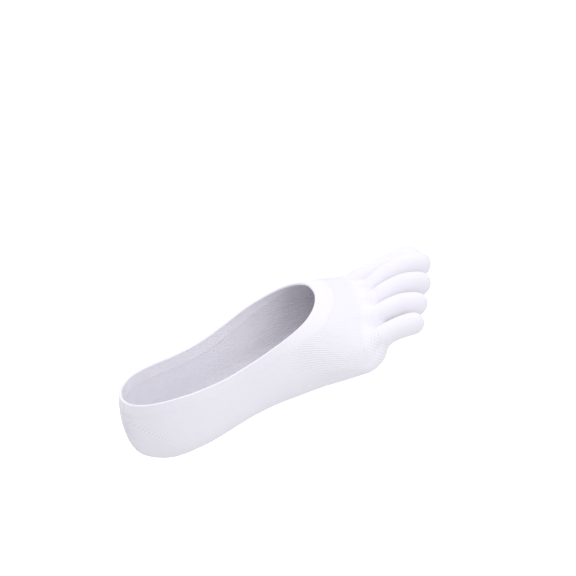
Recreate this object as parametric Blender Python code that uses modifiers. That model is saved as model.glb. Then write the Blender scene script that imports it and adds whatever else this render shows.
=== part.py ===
# A low-cut toe sock for a right foot, in the form that it has on the foot.
# +X runs from the heel to the toes, +Y to the big toe's side and +Z up. The origin is where
# the middle of the wearer's heel rests, on the inner face of the sole.
import math

import bmesh
import bpy
import numpy as np
from mathutils import Matrix, Vector

# Driving dimensions, in metres.
sock_length = 0.2440  # heel to the end of the second toe, over the fabric
ball_width = 0.0950  # across the widest part of the forefoot
ankle_height = 0.0920  # height of the foot form where the ankle starts
heel_seat = 0.0380  # from the back of the heel to the middle of the heel pad
fabric = 0.0012  # thickness of the single knit
welt_fabric = 0.0019  # thickness of the turned welt, which is two layers
welt_depth = 0.0080  # height of the welt, from the rim down to its seam
heel_rim = 0.0475  # height of the rim at the back of the heel
side_rim = 0.0425  # height of the rim where it dips below the ankle bone
opening_reach = 0.1570  # from the back of the heel to the front of the opening
toe_gap = 0.0005  # free space between two toe pockets
seam_gap = 0.0003  # free space between two pieces along a seam
ball_lead = 0.0085  # how far the ball of the foot reaches ahead of the toes' upper seams

around_toe = 18  # points around a toe pocket
foot_steps = 27  # rings along the foot tube
pocket_steps = 9  # rings along a toe pocket

# The foot tube from the heel to the webs between the toes. Station is a share of
# sock_length; lateral, medial and ridge are shares of ball_width, measured from the foot's
# middle line; sole, widest and top are shares of ankle_height. Slant and bow lay the ring
# along the line of the webs: slant is the way forward for each way towards the big toe, and
# bow is how far the ring's sides fall back, as a share of ball_width. Lobes and upper_lobes
# are how far the ring's sole and its top have changed from a plain foot's outline to the
# outline of the five toes.
FOOT_COLUMNS = (
    "station", "lateral", "medial", "sole", "widest", "top", "ridge", "slant", "bow", "lobes",
    "upper_lobes",
)
FOOT_SECTIONS = (
    (0.000, 0.021, 0.021, 0.217, 0.239, 0.272, 0.000, 0.00, 0.00, 0.00, 0.00),
    (0.006, 0.095, 0.095, 0.125, 0.239, 0.370, 0.000, 0.00, 0.00, 0.00, 0.00),
    (0.016, 0.150, 0.152, 0.085, 0.239, 0.467, 0.000, 0.00, 0.00, 0.00, 0.00),
    (0.033, 0.200, 0.205, 0.053, 0.228, 0.565, 0.000, 0.00, 0.00, 0.00, 0.00),
    (0.057, 0.253, 0.258, 0.023, 0.217, 0.696, 0.000, 0.00, 0.00, 0.00, 0.00),
    (0.090, 0.300, 0.300, 0.003, 0.207, 0.848, 0.000, 0.00, 0.00, 0.00, 0.00),
    (0.131, 0.330, 0.326, 0.000, 0.196, 0.957, 0.000, 0.00, 0.00, 0.00, 0.00),
    (0.184, 0.347, 0.337, 0.000, 0.196, 1.000, 0.000, 0.00, 0.00, 0.00, 0.00),
    (0.246, 0.347, 0.337, 0.009, 0.207, 1.000, 0.011, 0.00, 0.00, 0.00, 0.00),
    (0.320, 0.347, 0.345, 0.022, 0.217, 0.957, 0.032, 0.01, 0.00, 0.00, 0.00),
    (0.393, 0.370, 0.358, 0.024, 0.228, 0.870, 0.053, 0.03, 0.00, 0.00, 0.00),
    (0.467, 0.410, 0.379, 0.015, 0.228, 0.772, 0.074, 0.07, 0.01, 0.00, 0.00),
    (0.541, 0.448, 0.410, 0.007, 0.217, 0.674, 0.076, 0.13, 0.02, 0.00, 0.00),
    (0.615, 0.494, 0.447, 0.000, 0.185, 0.592, 0.080, 0.20, 0.04, 0.00, 0.00),
    (0.676, 0.524, 0.479, 0.000, 0.155, 0.525, 0.090, 0.26, 0.07, 0.00, 0.02),
    (0.721, 0.545, 0.489, 0.000, 0.140, 0.472, 0.102, 0.30, 0.09, 0.03, 0.12),
    (0.754, 0.546, 0.488, 0.000, 0.146, 0.435, 0.110, 0.32, 0.11, 0.18, 0.34),
    (0.775, 0.534, 0.482, 0.006, 0.165, 0.412, 0.105, 0.33, 0.11, 0.36, 0.62),
    (0.787, 0.508, 0.475, 0.033, 0.198, 0.400, 0.095, 0.33, 0.11, 0.66, 0.85),
    (0.795, 0.465, 0.468, 0.110, 0.230, 0.390, 0.084, 0.33, 0.11, 1.00, 1.00),
)
upper_roundness = 2.3  # superellipse exponent of the instep half of a ring
sole_roundness = 2.9  # and of the sole half, which is squarer

# The toes. Root and length are shares of sock_length, from a root inside the foot tube;
# height is the root's height as a share of ankle_height; width and depth are shares of
# ball_width; yaw and the three pitches are degrees, at the root, the knuckle and the tip.
TOE_COLUMNS = (
    "name", "root", "height", "length", "width", "depth", "yaw", "pitch", "knuckle", "tip",
)
TOES = (
    ("little_toe_pocket", 0.672, 0.190, 0.188, 0.158, 0.160, 2.0, 9.0, -8.0, -24.0),
    ("fourth_toe_pocket", 0.690, 0.210, 0.227, 0.156, 0.176, 1.5, 21.0, -11.0, -44.0),
    ("middle_toe_pocket", 0.712, 0.220, 0.260, 0.160, 0.180, 1.0, 24.0, -6.0, -42.0),
    ("second_toe_pocket", 0.742, 0.228, 0.273, 0.170, 0.186, 0.0, 25.0, 0.0, -36.0),
    ("big_toe_pocket", 0.735, 0.228, 0.288, 0.272, 0.250, -3.0, 4.0, -2.0, -2.0),
)
toe_bend = (0.20, 0.60, 1.00)  # shares of a toe's length where its three pitches hold
middle_toe_offset = -0.0060  # from the foot's middle line to the third toe's middle
toe_shape = ((0.0, 0.50, 0.72, 1.0), (0.97, 0.96, 1.0, 0.99))  # girth along a toe
tip_roundness = 2.3
lobe_cover = 0.0003  # how far the foot tube lies over the roots of the toes
end_toe_angles = (0.0, 22.0, 46.0, 70.0, 95.0, 123.0)  # ring points over an outer toe
inner_toe_angles = (60.0, 90.0, 120.0)  # and over an inner one, between its two valleys
valley_angle = 30.0  # where the fabric leaves a toe to cross to the next one


def clear_scene():
    for scene_object in list(bpy.data.objects):
        bpy.data.objects.remove(scene_object)


def new_collection(name):
    collection = bpy.data.collections.new(name)
    bpy.context.scene.collection.children.link(collection)
    return collection


def smooth_curve(stations, values, at):
    """Reads a smooth curve through a table's values. It doesn't overshoot between them."""
    x, y = np.asarray(stations, float), np.asarray(values, float)
    rise = np.diff(y) / np.diff(x)
    slope = np.zeros(len(x))
    slope[0], slope[-1] = rise[0], rise[-1]
    same_way = rise[:-1] * rise[1:] > 0
    before, after = rise[:-1][same_way], rise[1:][same_way]
    slope[1:-1][same_way] = 2 * before * after / (before + after)
    at = np.clip(np.asarray(at, float), x[0], x[-1])
    left = np.clip(np.searchsorted(x, at, side="right") - 1, 0, len(x) - 2)
    width = x[left + 1] - x[left]
    t = (at - x[left]) / width
    return (
        y[left] * (2 * t**3 - 3 * t**2 + 1)
        + slope[left] * width * (t**3 - 2 * t**2 + t)
        + y[left + 1] * (3 * t**2 - 2 * t**3)
        + slope[left + 1] * width * (t**3 - t**2)
    )


def signed_power(value, exponent):
    return np.sign(value) * np.abs(value) ** exponent


def foot_column(name, station):
    column = FOOT_COLUMNS.index(name)
    return smooth_curve([row[0] for row in FOOT_SECTIONS], [row[column] for row in FOOT_SECTIONS], station)


def ring_columns():
    """The columns of a ring's upper half, from the big toe's side: the toes and angles of each."""
    last = len(toes) - 1
    columns = [[(last, angle)] for angle in end_toe_angles]
    for toe in range(last, 0, -1):
        columns.append([(toe, 180 - valley_angle), (toe - 1, valley_angle)])
        if toe > 1:
            columns += [[(toe - 1, angle)] for angle in inner_toe_angles]
    return columns + [[(0, 180 - angle)] for angle in reversed(end_toe_angles)]


def ring_line(y, station):
    """How far forward the upper half of a ring lies, at each y across it."""
    slant, bow = foot_column("slant", station), foot_column("bow", station)
    share = np.clip(y / (ball_width / 2), -0.8, 0.8)
    return station * sock_length - heel_seat + y * slant - bow * ball_width * share**2


def web_columns(half):
    """Where a ring's columns lie on the toes' own outlines at the webs: over them, or under (-1)."""
    points = []
    for column in ring_columns():
        found = []
        for index, angle in column:
            toe = toes[index]
            angle = math.radians(angle)
            line, _ = toe_line(toe, np.linspace(0, 1, 41))
            web = ring_line(toe["across"], FOOT_SECTIONS[-1][0])
            half_width = toe["width"] * ball_width / 2 * toe_shape[1][0] + lobe_cover
            half_depth = toe["depth"] * ball_width / 2 * toe_shape[1][0] + lobe_cover
            y = np.interp(web, line[:, 0], line[:, 1]) + half_width * math.cos(angle)
            z = np.interp(web, line[:, 0], line[:, 2]) + half * half_depth * math.sin(angle)
            found.append((y, z))
        points.append(np.mean(found, axis=0))
    return np.array(points)


def foot_ring(station):
    """The points around the foot tube at a share of its length, over the foot and back under it."""
    names = ("lateral", "medial", "ridge", "sole", "widest", "top", "bow", "lobes", "upper_lobes")
    at = {name: foot_column(name, station) for name in names}
    halves = []
    for half in (1, -1):
        web = web_columns(half)
        # The columns keep their shares of the width all along the foot.
        middle = (web[0, 0] + web[-1, 0]) / 2
        across = np.clip((web[:, 0] - middle) / (web[0, 0] - middle), -1, 1)
        roundness = upper_roundness if half > 0 else sole_roundness
        rise = (1 - np.abs(across) ** roundness) ** (1 / roundness)
        y = across * np.where(across < 0, at["lateral"], at["medial"]) * ball_width
        y += at["ridge"] * ball_width * rise * (half > 0)
        reach = at["top"] - at["widest"] if half > 0 else at["widest"] - at["sole"]
        z = (at["widest"] + half * rise * reach) * ankle_height - fabric
        lobes = at["upper_lobes"] if half > 0 else at["lobes"]
        y, z = np.stack([y, z]) * (1 - lobes) + web.T * lobes
        lead = ball_lead * at["bow"] / foot_column("bow", 1.0) * rise * (half < 0)
        halves.append(np.stack([ring_line(y, station) + lead, y, z], axis=1))
    return np.concatenate([halves[0], halves[1][-2:0:-1]])


def foot_stations():
    """Shares of the length for the rings: the table's own at the two ends, even between them."""
    stations = [row[0] for row in FOOT_SECTIONS]
    heel, front = stations[5], stations[15]
    even = np.linspace(heel, front, foot_steps - 9)
    return np.concatenate([stations[:5], even, stations[16:]])


def toe_line(toe, share):
    """A toe's middle line: the point and the pitch at each share of its length."""
    fine = np.linspace(0, 1, 161)
    pitch = np.radians(np.interp(fine, toe_bend, (toe["pitch"], toe["knuckle"], toe["tip"])))
    length = toe["length"] * sock_length
    step = length / (len(fine) - 1)
    ahead = np.concatenate([[0], np.cumsum((np.cos(pitch[1:]) + np.cos(pitch[:-1])) / 2 * step)])
    up = np.concatenate([[0], np.cumsum((np.sin(pitch[1:]) + np.sin(pitch[:-1])) / 2 * step)])
    yaw = math.radians(toe["yaw"])
    forward = np.interp(share, fine, ahead)
    x = toe["root"] * sock_length - heel_seat + forward * math.cos(yaw)
    # The toes lie side by side at their pads, so the root is found back along the yaw.
    y = toe["across"] + (forward - 0.72 * ahead[-1]) * math.sin(yaw)
    z = toe["height"] * ankle_height + np.interp(share, fine, up) - fabric
    return np.stack([x, y, z], axis=-1), np.interp(share, fine, pitch)


def toe_rings(toe, shares, inset=0.0):
    """Rings across a toe, their girth falling to a rounded tip at share 1."""
    turn = np.arange(around_toe) * 2 * math.pi / around_toe
    points, pitches = toe_line(toe, shares)
    yaw = math.radians(toe["yaw"])
    side = np.array([-math.sin(yaw), math.cos(yaw), 0.0])
    half_width = toe["width"] * ball_width / 2
    half_depth = toe["depth"] * ball_width / 2
    length = toe["length"] * sock_length
    rings = []
    for share, point, pitch in zip(shares, points, pitches):
        to_tip = np.clip((1 - share) * length / (1.15 * half_width), 0, 1)
        rounding = (1 - (1 - to_tip) ** tip_roundness) ** (1 / tip_roundness)
        girth = np.interp(share, *toe_shape) * rounding
        up = np.array([-math.sin(pitch) * math.cos(yaw), -math.sin(pitch) * math.sin(yaw), math.cos(pitch)])
        rings.append(
            point
            + np.outer(np.cos(turn) * (half_width * girth - inset), side)
            + np.outer(np.sin(turn) * (half_depth * girth - inset), up)
        )
    return rings


def loft(name, rings, cap_start=True, cap_end=True):
    """A mesh through rings of equal counts. A cap joins a ring's upper half to its lower one."""
    mesh = bpy.data.meshes.new(name)
    sheet = bmesh.new()
    rows = [[sheet.verts.new(point) for point in ring] for ring in rings]
    count = len(rows[0])
    for row, following in zip(rows, rows[1:]):
        for i in range(count):
            j = (i + 1) % count
            sheet.faces.new((row[i], row[j], following[j], following[i]))
    for row, closed in ((rows[0], cap_start), (rows[-1], cap_end)):
        for i in range(count // 2 if closed else 0):
            corners = (row[i], row[i + 1], row[count - i - 1], row[-i])
            sheet.faces.new(list(dict.fromkeys(corners)))
    bmesh.ops.triangulate(sheet, faces=sheet.faces)
    bmesh.ops.recalc_face_normals(sheet, faces=sheet.faces)
    sheet.to_mesh(mesh)
    sheet.free()
    lofted = bpy.data.objects.new(name, mesh)
    cutters.objects.link(lofted)
    return lofted


def applied(target):
    """Replaces an object's mesh by the one that its modifiers make."""
    bpy.context.view_layer.update()
    evaluated = target.evaluated_get(bpy.context.evaluated_depsgraph_get())
    target.data = bpy.data.meshes.new_from_object(evaluated)
    target.modifiers.clear()
    return target


def offset(name, form, distance):
    """A copy of a closed form, grown by a distance along its normals, or shrunk if it is negative."""
    grown = form.copy()
    grown.name = name
    grown.data = form.data.copy()
    cutters.objects.link(grown)
    push = grown.modifiers.new("offset", "DISPLACE")
    push.strength = distance
    push.mid_level = 0.0
    return applied(grown)


def combine(target, tools, operation):
    for tool in tools:
        step = target.modifiers.new(operation.lower(), "BOOLEAN")
        step.operation = operation
        step.solver = "EXACT"
        step.object = tool
        applied(target)
    return target


def side_profile(name, outline):
    """A cutter as wide as the sock, from an outline in the X-Z plane."""
    curve = bpy.data.curves.new(name, "CURVE")
    curve.dimensions = "2D"
    curve.fill_mode = "BOTH"
    curve.extrude = ball_width
    spline = curve.splines.new("POLY")
    spline.points.add(len(outline) - 1)
    for point, (x, z) in zip(spline.points, outline):
        point.co = (x, z, 0.0, 1.0)
    spline.use_cyclic_u = True
    drawn = bpy.data.objects.new(name, curve)
    drawn.rotation_euler.x = math.pi / 2
    cutters.objects.link(drawn)
    bpy.context.view_layer.update()
    evaluated = drawn.evaluated_get(bpy.context.evaluated_depsgraph_get())
    mesh = bpy.data.meshes.new_from_object(evaluated)
    joined = bmesh.new()
    joined.from_mesh(mesh)
    bmesh.ops.remove_doubles(joined, verts=joined.verts, dist=1e-6)
    bmesh.ops.recalc_face_normals(joined, faces=joined.faces)
    joined.to_mesh(mesh)
    joined.free()
    cutter = bpy.data.objects.new(name, mesh)
    cutter.matrix_world = drawn.matrix_world
    cutters.objects.link(cutter)
    bpy.data.objects.remove(drawn)
    return cutter


def rim_line():
    """The rim in side view: level at the heel, low below the ankle bone, and up to the instep."""
    front_height = foot_column("top", opening_reach / sock_length) * ankle_height
    stations = [
        -0.10 * opening_reach, 0.09 * opening_reach, 0.46 * opening_reach,
        0.78 * opening_reach, opening_reach, 1.25 * opening_reach,
    ]
    rise = front_height - side_rim
    heights = [
        heel_rim - 0.001, heel_rim, side_rim,
        side_rim + 0.66 * rise, front_height, front_height + 0.10 * rise,
    ]
    x = np.linspace(stations[0], stations[-1], 41)
    return np.stack([x - heel_seat, smooth_curve(stations, heights, x) - fabric], axis=1)


def above(name, depth):
    """Everything above a line that lies this far down the fabric from the rim."""
    line = rim_line()
    forward = np.clip((line[:, 0] + heel_seat) / opening_reach / 0.5 - 1.1, 0, 1)
    # The line leans forward over the instep, where the fabric slopes.
    line = line + depth * np.stack([1.15 * forward, 0.38 * forward - 1.0], axis=1)
    ceiling = 2 * ankle_height
    return side_profile(name, [*line, (line[-1][0], ceiling), (line[0][0], ceiling)])


def knit_material(name, colour, roughness):
    material = bpy.data.materials.new(name)
    material.use_nodes = True
    shader = material.node_tree.nodes["Principled BSDF"]
    shader.inputs["Base Color"].default_value = (*colour, 1.0)
    shader.inputs["Roughness"].default_value = roughness
    shader.inputs["Metallic"].default_value = 0.0
    return material


def finish(piece, material):
    """Puts a finished piece in the sock's collection, shaded smooth with its seams sharp."""
    for collection in piece.users_collection:
        collection.objects.unlink(piece)
    sock.objects.link(piece)
    piece.data.materials.clear()
    piece.data.materials.append(material)
    piece.data.shade_smooth()
    piece.data.set_sharp_from_angle(angle=math.radians(50))


def toe_table():
    """The toes as dictionaries, each with its place across the foot, worked out from the middle toe."""
    toes = [dict(zip(TOE_COLUMNS, row)) for row in TOES]
    middle = 2
    toes[middle]["across"] = middle_toe_offset
    for this, inner in ((1, 2), (0, 1)):
        spacing = (toes[this]["width"] + toes[inner]["width"]) / 2 * ball_width + toe_gap
        toes[this]["across"] = toes[inner]["across"] - spacing
    for this, inner in ((3, 2), (4, 3)):
        spacing = (toes[this]["width"] + toes[inner]["width"]) / 2 * ball_width + toe_gap
        toes[this]["across"] = toes[inner]["across"] + spacing
    shares = np.linspace(0, 1, 161)
    for toe in toes:
        line, _ = toe_line(toe, shares)
        toe["web"] = np.interp(ring_line(toe["across"], FOOT_SECTIONS[-1][0]), line[:, 0], shares)
    return toes


def make_toe_pocket(toe, form):
    """A pocket from its seam to its closed tip: an open surface made solid inwards."""
    start = toe["web"] - 6 * fabric / (toe["length"] * sock_length)
    shares = start + (1 - start) * (1 - (1 - np.linspace(0, 1, pocket_steps)) ** 1.6)
    rings = toe_rings(toe, shares[:-1])
    tip = toe_rings(toe, [1 - 0.004])
    pocket = loft(toe["name"], rings + tip, cap_start=False)
    solid = pocket.modifiers.new("fabric", "SOLIDIFY")
    solid.thickness = fabric
    solid.offset = -1
    solid.use_even_offset = True
    applied(pocket)
    # A form grown along its corners moves its faces by less than that, so it grows by more.
    return combine(pocket, [offset("clearance", form, 1.6 * seam_gap)], "DIFFERENCE")


def make_foot_tube(form):
    """The foot tube: heel, sole and instep, with an opening into each toe pocket."""
    tube = offset("foot_tube", form, 0.0)
    inner = offset("foot_hollow", form, -fabric)
    hollows = []
    for toe in toes:
        reach = toe["web"] + (ball_lead + 3 * fabric) / (toe["length"] * sock_length)
        hollows.append(loft("toe_hollow", toe_rings(toe, np.linspace(0.1, reach, 6), fabric)))
    combine(inner, hollows, "UNION")
    return combine(tube, [inner, above("below_welt", welt_depth + seam_gap)], "DIFFERENCE")


def make_welt(form):
    """The turned welt: a thicker band of fabric around the opening."""
    extra = (welt_fabric - fabric) / 2
    welt = offset("opening_welt", form, extra)
    combine(welt, [offset("welt_hollow", form, -fabric - extra)], "DIFFERENCE")
    combine(welt, [above("opening", 0.0)], "DIFFERENCE")
    combine(welt, [above("welt_zone", welt_depth)], "INTERSECT")
    return welt


clear_scene()
sock = new_collection("toe_sock")
cutters = new_collection("cutters")
white_knit = knit_material("white_knit", (0.86, 0.86, 0.89), 0.9)
white_welt = knit_material("white_welt", (0.90, 0.90, 0.92), 0.85)

toes = toe_table()
form = loft("foot_form", [foot_ring(station) for station in foot_stations()])
finish(make_foot_tube(form), white_knit)
finish(make_welt(form), white_welt)
for toe in toes:
    finish(make_toe_pocket(toe, form), white_knit)
for leftover in list(cutters.objects):
    bpy.data.objects.remove(leftover)
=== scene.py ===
import math

import bmesh
import bpy
import numpy as np
from mathutils import Matrix, Vector


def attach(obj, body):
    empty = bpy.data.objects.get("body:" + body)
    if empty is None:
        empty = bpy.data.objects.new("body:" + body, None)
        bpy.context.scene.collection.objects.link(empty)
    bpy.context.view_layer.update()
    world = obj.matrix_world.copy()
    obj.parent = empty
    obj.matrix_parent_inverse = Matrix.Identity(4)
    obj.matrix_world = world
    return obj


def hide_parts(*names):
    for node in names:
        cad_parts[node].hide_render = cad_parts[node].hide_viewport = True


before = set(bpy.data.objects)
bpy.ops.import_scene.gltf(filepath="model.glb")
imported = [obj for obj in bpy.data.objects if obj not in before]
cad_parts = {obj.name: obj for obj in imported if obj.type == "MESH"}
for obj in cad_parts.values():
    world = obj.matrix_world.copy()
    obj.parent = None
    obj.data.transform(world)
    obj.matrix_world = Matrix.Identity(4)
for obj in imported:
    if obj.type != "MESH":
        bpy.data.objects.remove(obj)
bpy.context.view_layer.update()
print("frame loaded")


def smoothCurve(stations, values, at):
    x, y = np.asarray(stations, float), np.asarray(values, float)
    rise = np.diff(y) / np.diff(x)
    slope = np.zeros(len(x))
    slope[0], slope[-1] = rise[0], rise[-1]
    sameWay = rise[:-1] * rise[1:] > 0
    before, after = rise[:-1][sameWay], rise[1:][sameWay]
    slope[1:-1][sameWay] = 2 * before * after / (before + after)
    at = np.clip(np.asarray(at, float), x[0], x[-1])
    left = np.clip(np.searchsorted(x, at, side="right") - 1, 0, len(x) - 2)
    width = x[left + 1] - x[left]
    t = (at - x[left]) / width
    return (
        y[left] * (2 * t**3 - 3 * t**2 + 1)
        + slope[left] * width * (t**3 - 2 * t**2 + t)
        + y[left + 1] * (3 * t**2 - 2 * t**3)
        + slope[left + 1] * width * (t**3 - t**2)
    )


def smoothStep(low, high, value):
    t = np.clip((value - low) / (high - low), 0, 1)
    return t * t * (3 - 2 * t)


footShape = {
    "length": 0.2440,
    "ballWidth": 0.0950,
    "ankleHeight": 0.0920,
    "heelSeat": 0.0380,
    "fabric": 0.0012,
    "upperRoundness": 2.3,
    "soleRoundness": 2.9,
    "ballLead": 0.0085,
    "stations": 150,
    "sleeve": 0.0060,  # how far the fabric runs on over the roots of the toes
    "columns": (
        "station", "lateral", "medial", "sole", "widest", "top", "ridge", "slant", "bow",
        "lobes", "upperLobes",
    ),
    # From the heel to the webs: shares of the length, the ball width and the ankle height.
    "sections": (
        (0.000, 0.021, 0.021, 0.217, 0.239, 0.272, 0.000, 0.00, 0.00, 0.00, 0.00),
        (0.006, 0.095, 0.095, 0.125, 0.239, 0.370, 0.000, 0.00, 0.00, 0.00, 0.00),
        (0.016, 0.150, 0.152, 0.085, 0.239, 0.467, 0.000, 0.00, 0.00, 0.00, 0.00),
        (0.033, 0.200, 0.205, 0.053, 0.228, 0.565, 0.000, 0.00, 0.00, 0.00, 0.00),
        (0.057, 0.253, 0.258, 0.023, 0.217, 0.696, 0.000, 0.00, 0.00, 0.00, 0.00),
        (0.090, 0.300, 0.300, 0.003, 0.207, 0.848, 0.000, 0.00, 0.00, 0.00, 0.00),
        (0.131, 0.330, 0.326, 0.000, 0.196, 0.957, 0.000, 0.00, 0.00, 0.00, 0.00),
        (0.184, 0.347, 0.337, 0.000, 0.196, 1.000, 0.000, 0.00, 0.00, 0.00, 0.00),
        (0.246, 0.347, 0.337, 0.009, 0.207, 1.000, 0.011, 0.00, 0.00, 0.00, 0.00),
        (0.320, 0.347, 0.345, 0.022, 0.217, 0.957, 0.032, 0.01, 0.00, 0.00, 0.00),
        (0.393, 0.370, 0.358, 0.024, 0.228, 0.870, 0.053, 0.03, 0.00, 0.00, 0.00),
        (0.467, 0.410, 0.379, 0.015, 0.228, 0.772, 0.074, 0.07, 0.01, 0.00, 0.00),
        (0.541, 0.448, 0.410, 0.007, 0.217, 0.674, 0.076, 0.13, 0.02, 0.00, 0.00),
        (0.615, 0.494, 0.447, 0.000, 0.185, 0.592, 0.080, 0.20, 0.04, 0.00, 0.00),
        (0.676, 0.524, 0.479, 0.000, 0.155, 0.525, 0.090, 0.26, 0.07, 0.00, 0.02),
        (0.721, 0.545, 0.489, 0.000, 0.140, 0.472, 0.102, 0.30, 0.09, 0.03, 0.12),
        (0.754, 0.546, 0.488, 0.000, 0.146, 0.435, 0.110, 0.32, 0.11, 0.18, 0.34),
        (0.775, 0.534, 0.482, 0.006, 0.165, 0.412, 0.105, 0.33, 0.11, 0.36, 0.62),
        (0.787, 0.508, 0.475, 0.033, 0.198, 0.400, 0.095, 0.33, 0.11, 0.66, 0.85),
        (0.795, 0.465, 0.468, 0.110, 0.230, 0.390, 0.084, 0.33, 0.11, 1.00, 1.00),
    ),
}


def footColumn(name, station):
    column = footShape["columns"].index(name)
    rows = footShape["sections"]
    return smoothCurve([row[0] for row in rows], [row[column] for row in rows], station)


toeShape = {
    "gap": 0.0005,
    "middleOffset": -0.0060,
    "bend": (0.20, 0.60, 1.00),
    "girth": ((0.0, 0.50, 0.72, 1.0), (0.97, 0.96, 1.0, 0.99)),
    "tipRoundness": 2.3,
    "valleyAngle": 30.0,
    "around": 72,
    "steps": 90,
    "columns": (
        "name", "root", "height", "length", "width", "depth", "yaw", "pitch", "knuckle", "tip",
    ),
    "toes": (
        ("little_toe_pocket", 0.672, 0.190, 0.188, 0.158, 0.160, 2.0, 9.0, -8.0, -24.0),
        ("fourth_toe_pocket", 0.690, 0.210, 0.227, 0.156, 0.176, 1.5, 21.0, -11.0, -44.0),
        ("middle_toe_pocket", 0.712, 0.220, 0.260, 0.160, 0.180, 1.0, 24.0, -6.0, -42.0),
        ("second_toe_pocket", 0.742, 0.228, 0.273, 0.170, 0.186, 0.0, 25.0, 0.0, -36.0),
        ("big_toe_pocket", 0.735, 0.228, 0.288, 0.272, 0.250, -3.0, 4.0, -2.0, -2.0),
    ),
}


def toeLine(toe, share):
    fine = np.linspace(0, 1, 161)
    pitch = np.radians(np.interp(fine, toeShape["bend"], (toe["pitch"], toe["knuckle"], toe["tip"])))
    step = toe["length"] * footShape["length"] / (len(fine) - 1)
    ahead = np.concatenate([[0], np.cumsum((np.cos(pitch[1:]) + np.cos(pitch[:-1])) / 2 * step)])
    up = np.concatenate([[0], np.cumsum((np.sin(pitch[1:]) + np.sin(pitch[:-1])) / 2 * step)])
    yaw = math.radians(toe["yaw"])
    forward = np.interp(share, fine, ahead)
    x = toe["root"] * footShape["length"] - footShape["heelSeat"] + forward * math.cos(yaw)
    y = toe["across"] + (forward - 0.72 * ahead[-1]) * math.sin(yaw)
    z = toe["height"] * footShape["ankleHeight"] + np.interp(share, fine, up) - footShape["fabric"]
    return np.stack([x, y, z], axis=-1), np.interp(share, fine, pitch)


def ringLine(y, station):
    slant, bow = footColumn("slant", station), footColumn("bow", station)
    share = np.clip(y / (footShape["ballWidth"] / 2), -0.8, 0.8)
    bowed = bow * footShape["ballWidth"] * share**2
    return station * footShape["length"] - footShape["heelSeat"] + y * slant - bowed


def toeTable():
    toes = [dict(zip(toeShape["columns"], row)) for row in toeShape["toes"]]
    toes[2]["across"] = toeShape["middleOffset"]
    for this, inner, side in ((1, 2, -1), (0, 1, -1), (3, 2, 1), (4, 3, 1)):
        spacing = (toes[this]["width"] + toes[inner]["width"]) / 2 * footShape["ballWidth"] + toeShape["gap"]
        toes[this]["across"] = toes[inner]["across"] + side * spacing
    shares = np.linspace(0, 1, 161)
    for toe in toes:
        line, _ = toeLine(toe, shares)
        toe["web"] = np.interp(ringLine(toe["across"], footShape["sections"][-1][0]), line[:, 0], shares)
    return toes


toes = toeTable()


def ringColumns(valley):
    outer = np.arange(0.0, 148.0, 6.0)
    inner = np.linspace(38.0, 142.0, 15)
    columns = [[(4, angle)] for angle in outer]
    for toe in range(4, 0, -1):
        columns.append([(toe, 180 - valley), (toe - 1, valley)])
        if toe > 1:
            columns += [[(toe - 1, angle)] for angle in inner]
    return columns + [[(0, 180 - angle)] for angle in reversed(outer)]


def webColumns(half, cover, ahead, valley):
    # Where the ring's columns lie on the toes, this far ahead of the webs.
    points = []
    girth = toeShape["girth"][1][0]
    lines = [toeLine(toe, np.linspace(0, 1, 61))[0] for toe in toes]
    for column in ringColumns(valley):
        found = []
        for index, angle in column:
            toe, line = toes[index], lines[index]
            angle = math.radians(angle)
            web = ringLine(toe["across"], footShape["sections"][-1][0]) + ahead
            halfWidth = toe["width"] * footShape["ballWidth"] / 2 * girth + cover
            halfDepth = toe["depth"] * footShape["ballWidth"] / 2 * girth + cover
            y = np.interp(web, line[:, 0], line[:, 1]) + halfWidth * math.cos(angle)
            z = np.interp(web, line[:, 0], line[:, 2]) + half * halfDepth * math.sin(angle)
            found.append((y, z))
        points.append(np.mean(found, axis=0))
    return np.array(points)


webHalves = {half: webColumns(half, 0.0003, 0.0, toeShape["valleyAngle"]) for half in (1, -1)}


def footRing(station, ahead=0.0):
    sleeve = ahead / footShape["sleeve"]
    bowAtFront = footShape["sections"][-1][footShape["columns"].index("bow")]
    names = ("lateral", "medial", "ridge", "sole", "widest", "top", "bow", "lobes", "upperLobes")
    at = {name: footColumn(name, station) for name in names}
    halves = []
    for half in (1, -1):
        web = webHalves[half]
        middle = (web[0, 0] + web[-1, 0]) / 2
        across = np.clip((web[:, 0] - middle) / (web[0, 0] - middle), -1, 1)
        roundness = footShape["upperRoundness"] if half > 0 else footShape["soleRoundness"]
        rise = (1 - np.abs(across) ** roundness) ** (1 / roundness)
        y = across * np.where(across < 0, at["lateral"], at["medial"]) * footShape["ballWidth"]
        y += at["ridge"] * footShape["ballWidth"] * rise * (half > 0)
        reach = at["top"] - at["widest"] if half > 0 else at["widest"] - at["sole"]
        z = (at["widest"] + half * rise * reach) * footShape["ankleHeight"] - footShape["fabric"]
        if sleeve > 0:
            # The fabric closes in over the toes and down between them.
            web = webColumns(half, 0.0003 - 0.0011 * sleeve, ahead, toeShape["valleyAngle"] * (1 - sleeve))
        lobes = at["upperLobes"] if half > 0 else at["lobes"]
        y, z = np.stack([y, z]) * (1 - lobes) + web.T * lobes
        lead = footShape["ballLead"] * at["bow"] / bowAtFront * rise * (half < 0)
        halves.append(np.stack([ringLine(y, station) + lead + ahead, y, z], axis=1))
    return np.concatenate([halves[0], halves[1][-2:0:-1]])


weltShape = {
    "fabric": 0.0019,
    "proud": 0.0003,  # how far the welt stands out of the single knit
    "blend": 0.0016,  # how far up the welt its outside comes to that
    "depth": 0.0080,
    "foldRadius": 0.00105,
    "heelRim": 0.0475,
    "sideRim": 0.0425,
    "reach": 0.1570,  # from the back of the heel to the front of the opening
}


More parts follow.
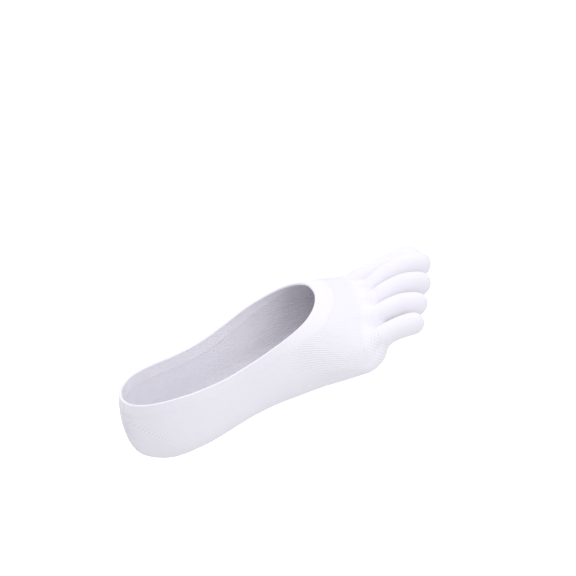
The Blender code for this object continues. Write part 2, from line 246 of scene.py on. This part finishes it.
def rimHeight(x, depth=0.0):
    # Height of the rim, or of a line this far down the fabric from it, along the foot.
    reach = weltShape["reach"]
    front = footColumn("top", reach / footShape["length"]) * footShape["ankleHeight"]
    low, rise = weltShape["sideRim"], front - weltShape["sideRim"]
    stations = [-0.10 * reach, 0.09 * reach, 0.46 * reach, 0.78 * reach, reach, 1.25 * reach]
    heel = weltShape["heelRim"]
    heights = [heel - 0.001, heel, low, low + 0.66 * rise, front, front + 0.10 * rise]
    along = np.linspace(stations[0], stations[-1], 81)
    z = smoothCurve(stations, heights, along) - footShape["fabric"]
    forward = np.clip(along / reach / 0.5 - 1.1, 0, 1)
    lineX = along - footShape["heelSeat"] + depth * 1.15 * forward
    lineZ = z + depth * (0.38 * forward - 1.0)
    return np.interp(x, lineX, lineZ)


def loftMesh(rings, wale, course, capped):
    # Wale and course are the two ways over the knit, kept as a UV map in metres.
    sheet = bmesh.new()
    stitches = sheet.loops.layers.uv.new("stitches")
    rows = [[sheet.verts.new(point) for point in ring] for ring in rings]
    count = len(rows[0])
    for k in range(len(rows) - 1):
        for i in range(count):
            j = (i + 1) % count
            face = sheet.faces.new((rows[k][i], rows[k][j], rows[k + 1][j], rows[k + 1][i]))
            corners = ((i, k), (i + 1, k), (i + 1, k + 1), (i, k + 1))
            for loop, (across, along) in zip(face.loops, corners):
                loop[stitches].uv = (wale[across], course[along][across % count])
    # The ring given by its place in the row, the first or the last, is closed.
    middle = np.mean(rings[capped], axis=0)
    tip = sheet.verts.new(middle)
    reach = np.linalg.norm(rings[capped] - middle, axis=1).mean()
    tipCourse = np.mean(course[capped]) + (reach if capped else -reach)
    for i in range(count):
        j = (i + 1) % count
        face = sheet.faces.new((rows[capped][i], rows[capped][j], tip))
        ends = ((i, course[capped][i]), (i + 1, course[capped][j]), (i, tipCourse))
        for loop, (across, along) in zip(face.loops, ends):
            loop[stitches].uv = (wale[across], along)
    bmesh.ops.recalc_face_normals(sheet, faces=sheet.faces)
    return sheet


def makeObject(name, sheet):
    mesh = bpy.data.meshes.new(name)
    sheet.to_mesh(mesh)
    sheet.free()
    mesh.shade_smooth()
    made = bpy.data.objects.new(name, mesh)
    bpy.context.scene.collection.objects.link(made)
    return made


def cutAlong(sheet, depth, keepAbove):
    # The cut is straight once each point is lowered by the line's height there.
    for vert in sheet.verts:
        vert.co.z -= rimHeight(vert.co.x, depth)
    bmesh.ops.bisect_plane(
        sheet, geom=list(sheet.verts) + list(sheet.edges) + list(sheet.faces), dist=1e-7,
        plane_co=(0, 0, 0), plane_no=(0, 0, 1), clear_outer=not keepAbove, clear_inner=keepAbove,
    )
    for vert in sheet.verts:
        vert.co.z += rimHeight(vert.co.x, depth)


def applyModifiers(made):
    bpy.context.view_layer.update()
    evaluated = made.evaluated_get(bpy.context.evaluated_depsgraph_get())
    made.data = bpy.data.meshes.new_from_object(evaluated)
    made.modifiers.clear()
    made.data.shade_smooth()
    made.data.set_sharp_from_angle(angle=math.radians(50))
    return made


def footStations():
    front = footShape["sections"][-1][0]
    even = np.linspace(0, 1, footShape["stations"])
    return front * (0.35 * even**2 + 0.65 * even)


def footRings():
    rings = [footRing(station) for station in footStations()]
    front = footShape["sections"][-1][0]
    rings += [footRing(front, ahead) for ahead in np.linspace(0, footShape["sleeve"], 9)[1:]]
    return np.array(rings)


def footStitches(rings):
    # Each wale keeps its column; its width is measured at the ball.
    ball = rings[int(len(rings) * 0.8)]
    steps = np.linalg.norm(np.roll(ball, -1, axis=0) - ball, axis=1)
    wale = np.concatenate([[0], np.cumsum(steps)])
    lengths = np.linalg.norm(np.diff(rings, axis=0), axis=2)
    course = np.concatenate([np.zeros((1, rings.shape[1])), np.cumsum(lengths, axis=0)])
    return wale, course


rings = footRings()
wale, course = footStitches(rings)

footSheet = loftMesh(rings, wale, course, 0)
cutAlong(footSheet, weltShape["depth"], False)
foot = makeObject("foot_knit", footSheet)
thick = foot.modifiers.new("fabric", "SOLIDIFY")
thick.thickness = footShape["fabric"]
thick.offset = -1
applyModifiers(foot)
print("foot made", len(foot.data.polygons))


def makeWelt():
    band = loftMesh(rings, wale, course, 0)
    cutAlong(band, weltShape["depth"], True)
    cutAlong(band, 0.0, False)
    band.normal_update()
    edge = rimLoop(band)
    for vert in band.verts:
        above = vert.co.z - rimHeight(vert.co.x, weltShape["depth"])
        vert.co += vert.normal * weltShape["proud"] * smoothStep(0, weltShape["blend"], above)
    welt = makeObject("opening_band", band)
    thick = welt.modifiers.new("fabric", "SOLIDIFY")
    thick.thickness = weltShape["fabric"]
    thick.offset = -1
    applyModifiers(welt)
    return welt, edge


def rimLoop(sheet):
    # The points along the rim in order, at the middle of the fabric's thickness.
    edges = [e for e in sheet.edges if e.is_boundary]
    onRim = lambda v: abs(v.co.z - rimHeight(v.co.x)) < 1e-5
    links = {}
    for e in edges:
        a, b = e.verts
        if onRim(a) and onRim(b):
            links.setdefault(a, []).append(b)
            links.setdefault(b, []).append(a)
    start = next(iter(links))
    order, here, last = [start], start, None
    while True:
        following = [v for v in links[here] if v is not last]
        if not following or following[0] is start:
            break
        last, here = here, following[0]
        order.append(here)
    inward = weltShape["fabric"] / 2 - weltShape["proud"]
    return evenLoop(np.array([v.co - v.normal * inward for v in order]), 360)


def evenLoop(points, count):
    closed = np.vstack([points, points[:1]])
    along = np.concatenate([[0], np.cumsum(np.linalg.norm(np.diff(closed, axis=0), axis=1))])
    at = np.linspace(0, along[-1], count, endpoint=False)
    even = np.stack([np.interp(at, along, closed[:, k]) for k in range(3)], axis=1)
    for _ in range(6):
        even = (np.roll(even, 1, axis=0) + 2 * even + np.roll(even, -1, axis=0)) / 4
    return even


def foldTube(points):
    # The turned edge of the welt, a soft roll along the rim.
    ahead = np.roll(points, -1, axis=0) - np.roll(points, 1, axis=0)
    ahead /= np.linalg.norm(ahead, axis=1, keepdims=True)
    side = np.cross(ahead, (0, 0, 1.0))
    side /= np.linalg.norm(side, axis=1, keepdims=True)
    up = np.cross(side, ahead)
    count = 14
    turn = np.arange(count) * 2 * math.pi / count
    radius = weltShape["foldRadius"]
    tube = bmesh.new()
    stitches = tube.loops.layers.uv.new("stitches")
    rows = []
    for point, across, lift in zip(points, side, up):
        rows.append([
            tube.verts.new(point + across * math.cos(t) * radius + lift * math.sin(t) * radius) for t in turn
        ])
    length = np.linalg.norm(points[1] - points[0])
    for k in range(len(rows)):
        for i in range(count):
            j, m = (i + 1) % count, (k + 1) % len(rows)
            face = tube.faces.new((rows[k][i], rows[k][j], rows[m][j], rows[m][i]))
            for loop, (a, b) in zip(face.loops, ((i, k), (i + 1, k), (i + 1, k + 1), (i, k + 1))):
                loop[stitches].uv = (b * length, a * radius * 2 * math.pi / count)
    bmesh.ops.recalc_face_normals(tube, faces=tube.faces)
    return makeObject("opening_fold", tube)


welt, rimPoints = makeWelt()
fold = foldTube(rimPoints)
print("welt made", len(welt.data.polygons), len(fold.data.polygons))


def toeRings(toe, shares):
    turn = np.arange(toeShape["around"]) * 2 * math.pi / toeShape["around"]
    points, pitches = toeLine(toe, shares)
    yaw = math.radians(toe["yaw"])
    side = np.array([-math.sin(yaw), math.cos(yaw), 0.0])
    halfWidth = toe["width"] * footShape["ballWidth"] / 2
    halfDepth = toe["depth"] * footShape["ballWidth"] / 2
    length = toe["length"] * footShape["length"]
    tip = toeShape["tipRoundness"]
    rings = []
    for share, point, pitch in zip(shares, points, pitches):
        toTip = np.clip((1 - share) * length / (1.15 * halfWidth), 0, 1)
        girth = smoothCurve(*toeShape["girth"], share) * (1 - (1 - toTip) ** tip) ** (1 / tip)
        up = np.array([-math.sin(pitch) * math.cos(yaw), -math.sin(pitch) * math.sin(yaw), math.cos(pitch)])
        rings.append(
            point
            + np.outer(np.cos(turn) * halfWidth * girth, side)
            + np.outer(np.sin(turn) * halfDepth * girth, up)
        )
    return np.array(rings)


def makeToe(toe):
    length = toe["length"] * footShape["length"]
    start = toe["web"] - 0.004 / length
    even = np.linspace(0, 1, toeShape["steps"])
    shares = start + (1 - start) * (1 - (1 - even) ** 2.2)
    rings = toeRings(toe, shares[:-1])
    steps = np.linalg.norm(np.roll(rings[5], -1, axis=0) - rings[5], axis=1)
    wale = np.concatenate([[0], np.cumsum(steps)])
    lengths = np.linalg.norm(np.diff(rings, axis=0), axis=2)
    course = np.concatenate([np.zeros((1, rings.shape[1])), np.cumsum(lengths, axis=0)])
    made = makeObject(toe["name"].replace("pocket", "knit"), loftMesh(rings, wale, course, -1))
    thick = made.modifiers.new("fabric", "SOLIDIFY")
    thick.thickness = footShape["fabric"]
    thick.offset = -1
    return applyModifiers(made)


toeKnits = [makeToe(toe) for toe in toes]
print("toes made")


def addNode(tree, kind, place, **settings):
    node = tree.nodes.new(kind)
    node.location = place
    for name, value in settings.items():
        setattr(node, name, value)
    return node


def joinSockets(tree, source, target):
    tree.links.new(source, target)


def mathNode(tree, operation, place, first, second=None, third=None):
    node = addNode(tree, "ShaderNodeMath", place, operation=operation)
    for socket, value in zip(node.inputs, (first, second, third)):
        if value is None:
            continue
        if isinstance(value, (int, float)):
            socket.default_value = value
        else:
            tree.links.new(value, socket)
    return node.outputs[0]


# What a user would change first: the fabric's colour and the knit's scale.
yarn = {
    "white": (0.87, 0.855, 0.905),
    "weltWhite": (0.88, 0.865, 0.915),
    "paintedHollowShade": 0.86,  # painted shade: share of the colour that is left in the deepest hollows of the stitches
    "roughness": 0.92,
    "specular": 0.2,
    "sheen": 0.25,
    "sheenRoughness": 0.45,
    "waleWidth": 0.00075,  # width of one column of stitches
    "courseHeight": 0.00058,  # height of one row of stitches
    "weltScale": 0.85,  # the welt's stitches are finer by this share
    "relief": 0.00007,  # depth of the stitches
    # painted shade in the hollows between the stitches' loops
    "stitchPaintedShade": 0.35,
    "patchShade": 0.25,  # uneven tone over some centimetres
    "patchScale": 45.0,
    "fuzzHeight": 0.35,  # loose fibres, as a share of the stitches' depth
    "fuzzScale": 2600.0,
}

# The instep panel's ribs, and rows of dark dots: at the ball a painted shade of the knit where the surface
# curves, at the heel a line of dots along the edge of the heel's knit.
panel = {
    "ribWidth": 0.0015,
    "ribTilt": -0.02,  # how the ribs turn from the foot's length towards its top
    "ribRelief": 0.00014,
    "ribPaintedShade": 0.25,
    "dotPitch": 0.0028,  # from row to row
    # how dark the dots are painted; at the ball this is painted shade
    "dotShade": 0.8,
    "front": 0.752,  # share of the foot's length where the ribs end
    "start": (0.066, 0.084),  # the ribs fade in between these places along the foot
    "low": (0.009, 0.016),  # and between these heights
    "dotsAlong": ((0.120, 0.132), (0.138, 0.144)),
    "dotsOut": (0.034, 0.041),
    "dotsHigh": ((0.004, 0.012), (0.022, 0.028)),
    "heelLine": (-0.0346, 0.0351, 1.04),  # a place along the foot, the height there, the fall
    "heelHalf": (0.0010, 0.0022),  # half the width of the heel's line of dots
    "heelHigh": ((0.012, 0.018), (0.035, 0.037)),
}


def makeStitchGroup():
    # Rows of knitted loops from a UV map in metres, with painted shade in the loops' hollows, patches of
    # tone and loose fibres.
    group = bpy.data.node_groups.new("knitStitches", "ShaderNodeTree")
    for name in ("Wale Width", "Course Height", "Stitch Painted Shade", "Patch Shade", "Fuzz Height"):
        group.interface.new_socket(name=name, in_out="INPUT", socket_type="NodeSocketFloat")
    for name in ("Knit Height", "Knit Painted Shade And Tone"):
        group.interface.new_socket(name=name, in_out="OUTPUT", socket_type="NodeSocketFloat")
    inlet = addNode(group, "NodeGroupInput", (-1200, 0))
    outlet = addNode(group, "NodeGroupOutput", (900, 0))
    uv = addNode(group, "ShaderNodeUVMap", (-1200, 300), uv_map="stitches")
    split = addNode(group, "ShaderNodeSeparateXYZ", (-1000, 300))
    joinSockets(group, uv.outputs[0], split.inputs[0])
    wales = mathNode(group, "DIVIDE", (-800, 300), split.outputs[0], inlet.outputs["Wale Width"])
    courses = mathNode(group, "DIVIDE", (-800, 100), split.outputs[1], inlet.outputs["Course Height"])
    # Each wale is a column of slanted loops, so its two legs lean opposite ways.
    phase = mathNode(group, "MULTIPLY", (-600, 300), wales, 2 * math.pi)
    legs = mathNode(group, "COSINE", (-400, 300), phase)
    lean = mathNode(group, "PINGPONG", (-600, 450), wales, 0.5)
    slanted = mathNode(group, "MULTIPLY_ADD", (-400, 450), lean, 1.1, courses)
    turns = mathNode(group, "MULTIPLY", (-200, 450), slanted, 2 * math.pi)
    loops = mathNode(group, "COSINE", (0, 450), turns)
    depth = mathNode(group, "MULTIPLY", (0, 250), legs, -0.6)
    both = mathNode(group, "MULTIPLY_ADD", (200, 350), loops, 0.4, depth)
    stitch = mathNode(group, "MULTIPLY_ADD", (400, 350), both, 0.5, 0.5)
    geometry = addNode(group, "ShaderNodeNewGeometry", (-1200, -300))
    noises = []
    for scale, detail, low in ((yarn["patchScale"], 4.0, -200), (yarn["fuzzScale"], 3.0, -500)):
        noise = addNode(group, "ShaderNodeTexNoise", (-900, low))
        noise.inputs["Scale"].default_value = scale
        noise.inputs["Detail"].default_value = detail
        joinSockets(group, geometry.outputs["Position"], noise.inputs["Vector"])
        noises.append(noise.outputs["Fac"])
    patch = mathNode(group, "MULTIPLY", (-500, -200), noises[0], inlet.outputs["Patch Shade"])
    # Painted shade: the hollows between the loops darken the colour; the patches add tone that differs at
    # random.
    hollow = mathNode(group, "SUBTRACT", (500, 150), 1.0, stitch)
    shade = mathNode(group, "MULTIPLY_ADD", (700, 100), hollow, inlet.outputs["Stitch Painted Shade"], patch)
    height = mathNode(group, "MULTIPLY_ADD", (700, -200), noises[1], inlet.outputs["Fuzz Height"], stitch)
    joinSockets(group, height, outlet.inputs["Knit Height"])
    joinSockets(group, shade, outlet.inputs["Knit Painted Shade And Tone"])
    return group


stitchGroup = makeStitchGroup()


def addPanel(tree, height, shade):
    # Ribs wider than the stitches, with painted shade in the grooves between them, and dark dots, painted
    # shade at the ball and a line of dots at the heel, each where its own mask is set on the foot.
    ribMask = addNode(tree, "ShaderNodeAttribute", (-1300, 500), attribute_name="ribs")
    uv = addNode(tree, "ShaderNodeUVMap", (-1300, 700), uv_map="stitches")
    split = addNode(tree, "ShaderNodeSeparateXYZ", (-1100, 700))
    joinSockets(tree, uv.outputs[0], split.inputs[0])
    tilted = mathNode(
        tree, "MULTIPLY_ADD", (-1000, 750), split.outputs[1], panel["ribTilt"], split.outputs[0]
    )
    turns = mathNode(tree, "MULTIPLY", (-900, 700), tilted, 2 * math.pi / panel["ribWidth"])
    wave = mathNode(tree, "COSINE", (-700, 700), turns)
    raised = mathNode(tree, "MULTIPLY_ADD", (-500, 700), wave, 0.5, 0.5)
    ribs = mathNode(tree, "MULTIPLY", (-500, 500), raised, ribMask.outputs["Fac"])
    geometry = addNode(tree, "ShaderNodeNewGeometry", (-1300, 950))
    place = addNode(tree, "ShaderNodeSeparateXYZ", (-1100, 950))
    joinSockets(tree, geometry.outputs["Position"], place.inputs[0])
    waves = []
    perMetre = 2 * math.pi / panel["dotPitch"]
    for axis, high in (("X", 1050), ("Z", 900)):
        turned = mathNode(tree, "MULTIPLY", (-900, high), place.outputs[axis], perMetre)
        waves.append(mathNode(tree, "COSINE", (-700, high), turned))
    spots = mathNode(tree, "MULTIPLY", (-500, 900), *waves)
    dotMask = addNode(tree, "ShaderNodeAttribute", (-700, 1200), attribute_name="dots")
    dots = mathNode(tree, "MULTIPLY", (-300, 900), spots, dotMask.outputs["Fac"])
    scaled = mathNode(tree, "MULTIPLY", (-500, -500), ribs, panel["ribRelief"] / yarn["relief"])
    # Painted shade: the grooves between the ribs are darkened in the colour, beside the ribs' bump.
    hollow = mathNode(tree, "SUBTRACT", (-300, 600), ribMask.outputs["Fac"], ribs)
    # Painted shade at the ball: dark dots in the colour where the knit's shading breaks into dots; the
    # heel's line of dots marks the edge of the heel's knit.
    spotted = mathNode(tree, "MULTIPLY_ADD", (-450, 0), dots, panel["dotShade"], shade)
    deeper = mathNode(tree, "MULTIPLY_ADD", (-600, 0), hollow, panel["ribPaintedShade"], spotted)
    return mathNode(tree, "ADD", (-500, -300), height, scaled), deeper


def knitMaterial(name, white, scale=1.0, withPanel=False):
    material = bpy.data.materials.new(name)
    material.use_nodes = True
    tree = material.node_tree
    shader = tree.nodes["Principled BSDF"]
    shader.inputs["Roughness"].default_value = yarn["roughness"]
    shader.inputs["Sheen Weight"].default_value = yarn["sheen"]
    shader.inputs["Sheen Roughness"].default_value = yarn["sheenRoughness"]
    shader.inputs["Specular IOR Level"].default_value = yarn["specular"]
    stitches = addNode(tree, "ShaderNodeGroup", (-900, 200), node_tree=stitchGroup)
    for socket, value in (
        ("Wale Width", yarn["waleWidth"] * scale),
        ("Course Height", yarn["courseHeight"] * scale),
        ("Stitch Painted Shade", yarn["stitchPaintedShade"]),
        ("Patch Shade", yarn["patchShade"]),
        ("Fuzz Height", yarn["fuzzHeight"]),
    ):
        stitches.inputs[socket].default_value = value
    height, shade = stitches.outputs["Knit Height"], stitches.outputs["Knit Painted Shade And Tone"]
    if withPanel:
        height, shade = addPanel(tree, height, shade)
    # The colour darkens with the painted shade in the hollows of the stitches and ribs, with the dots, and
    # with random patches of tone.
    colour = addNode(tree, "ShaderNodeMix", (-500, 200), data_type="RGBA")
    colour.inputs["A"].default_value = (*white, 1)
    colour.inputs["B"].default_value = (*[c * yarn["paintedHollowShade"] for c in white], 1)
    joinSockets(tree, shade, colour.inputs["Factor"])
    joinSockets(tree, colour.outputs["Result"], shader.inputs["Base Color"])
    bump = addNode(tree, "ShaderNodeBump", (-300, -300))
    bump.inputs["Distance"].default_value = yarn["relief"]
    joinSockets(tree, height, bump.inputs["Height"])
    joinSockets(tree, bump.outputs[0], shader.inputs["Normal"])
    return material


footMaterial = knitMaterial("foot knit", yarn["white"], withPanel=True)
toeMaterial = knitMaterial("toe knit", yarn["white"])
weltMaterial = knitMaterial("welt knit", yarn["weltWhite"], scale=yarn["weltScale"])


def between(rise, fall, value):
    return smoothStep(*rise, value) * (1 - smoothStep(*fall, value))


def markKnit(made):
    # Where the ribbed panel lies, and where rows of dark dots are painted: at the ball as painted shade, at
    # the heel as a line along the edge of the heel's knit.
    co = np.empty(len(made.data.vertices) * 3)
    made.data.vertices.foreach_get("co", co)
    x, y, z = co.reshape(-1, 3).T
    front = ringLine(y, panel["front"])
    ribs = smoothStep(*panel["start"], x) * (1 - smoothStep(front - 0.001, front + 0.001, x))
    ribs *= smoothStep(*panel["low"], z)
    # The ball's dots are painted shade.
    ball = between(*panel["dotsAlong"], x) * between(*panel["dotsHigh"], z)
    ball *= smoothStep(*panel["dotsOut"], -y)
    lineX, lineZ, fall = panel["heelLine"]
    away = np.abs(z - lineZ + fall * (x - lineX)) / math.hypot(1, fall)
    heel = (1 - smoothStep(*panel["heelHalf"], away)) * between(*panel["heelHigh"], z)
    for name, mask in (("ribs", ribs * (1 - ball)), ("dots", np.maximum(ball, heel))):
        layer = made.data.attributes.new(name, "FLOAT", "POINT")
        layer.data.foreach_set("value", mask)


markKnit(foot)
for made, material, slot in (
    (foot, footMaterial, "white_knit"),
    (welt, weltMaterial, "white_welt"),
    (fold, weltMaterial, "white_welt"),
    *((toe, toeMaterial, "white_knit") for toe in toeKnits),
):
    made.data.materials.clear()
    made.data.materials.append(material)
    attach(made, "root")
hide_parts("foot_tube")
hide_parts("opening_welt")
for toe, made in zip(toes, toeKnits):
    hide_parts(toe["name"])
print("pieces placed")

view = {
    "azimuth": -16.7,
    "elevation": 28.3,
    "roll": 19.95,
    "distance": 1.5,
    "target": (0.082, 0.0, 0.0288),
    "lens": 139.4,
    "shift": (0.01476, 0.0983),
}


def makeCamera():
    azimuth, elevation, roll = (math.radians(view[k]) for k in ("azimuth", "elevation", "roll"))
    level = math.cos(elevation)
    back = Vector((math.sin(azimuth) * level, -math.cos(azimuth) * level, math.sin(elevation)))
    right = Vector((math.cos(azimuth), math.sin(azimuth), 0))
    up = back.cross(right)
    turnedRight = right * math.cos(roll) - up * math.sin(roll)
    turnedUp = right * math.sin(roll) + up * math.cos(roll)
    camera = bpy.data.objects.new("camera", bpy.data.cameras.new("camera"))
    bpy.context.scene.collection.objects.link(camera)
    place = Vector(view["target"]) + back * view["distance"]
    turned = Matrix((turnedRight, turnedUp, back)).transposed().to_4x4()
    camera.matrix_world = Matrix.Translation(place) @ turned
    camera.data.lens = view["lens"]
    camera.data.sensor_width = 36
    camera.data.shift_x, camera.data.shift_y = view["shift"]
    camera.data.clip_end = 50
    bpy.context.scene.camera = camera


makeCamera()


studio = {
    "floorHeight": -0.45,
    "floorWhite": 0.8,
    "floorGlow": 0.5,  # the camera sees the floor a little brighter than it lights the sock
    "world": (0.965, 0.965, 1.0),
    "worldStrength": 0.96,
    "lampsFace": (0.1, 0.0, 0.02),
    "lamps": (
        # name, watts, place, size
        ("key", 5.6, (0.20, 0.30, 1.5), 1.4),
        ("fill", 3.6, (0.95, -1.05, 0.75), 0.9),
    ),
}


def makeStage():
    sheet = bmesh.new()
    bmesh.ops.create_grid(sheet, x_segments=1, y_segments=1, size=12)
    floor = makeObject("floor", sheet)
    floor.location.z = studio["floorHeight"]
    material = bpy.data.materials.new("pale floor")
    material.use_nodes = True
    shader = material.node_tree.nodes["Principled BSDF"]
    shader.inputs["Base Color"].default_value = (*[studio["floorWhite"]] * 3, 1)
    shader.inputs["Roughness"].default_value = 1.0
    shader.inputs["Specular IOR Level"].default_value = 0.0
    shader.inputs["Emission Color"].default_value = (1, 1, 1, 1)
    tree = material.node_tree
    lightPath = addNode(tree, "ShaderNodeLightPath", (-600, -300))
    cameraRay = lightPath.outputs["Is Camera Ray"]
    glow = mathNode(tree, "MULTIPLY", (-300, -300), cameraRay, studio["floorGlow"])
    joinSockets(tree, glow, shader.inputs["Emission Strength"])
    floor.data.materials.append(material)


makeStage()

def makeLights():
    world = bpy.data.worlds.new("studio")
    bpy.context.scene.world = world
    world.use_nodes = True
    background = world.node_tree.nodes["Background"]
    background.inputs["Color"].default_value = (*studio["world"], 1)
    background.inputs["Strength"].default_value = studio["worldStrength"]
    for name, watts, place, size in studio["lamps"]:
        lamp = bpy.data.lights.new(name, "AREA")
        lamp.shape = "DISK"
        lamp.size = size
        lamp.energy = watts
        made = bpy.data.objects.new(name, lamp)
        made.location = place
        towards = Vector(studio["lampsFace"]) - made.location
        made.rotation_euler = towards.to_track_quat("-Z", "Y").to_euler()
        bpy.context.scene.collection.objects.link(made)


makeLights()
bpy.context.scene.view_settings.view_transform = "Standard"
bpy.context.scene.view_settings.look = "None"
print("stage made")
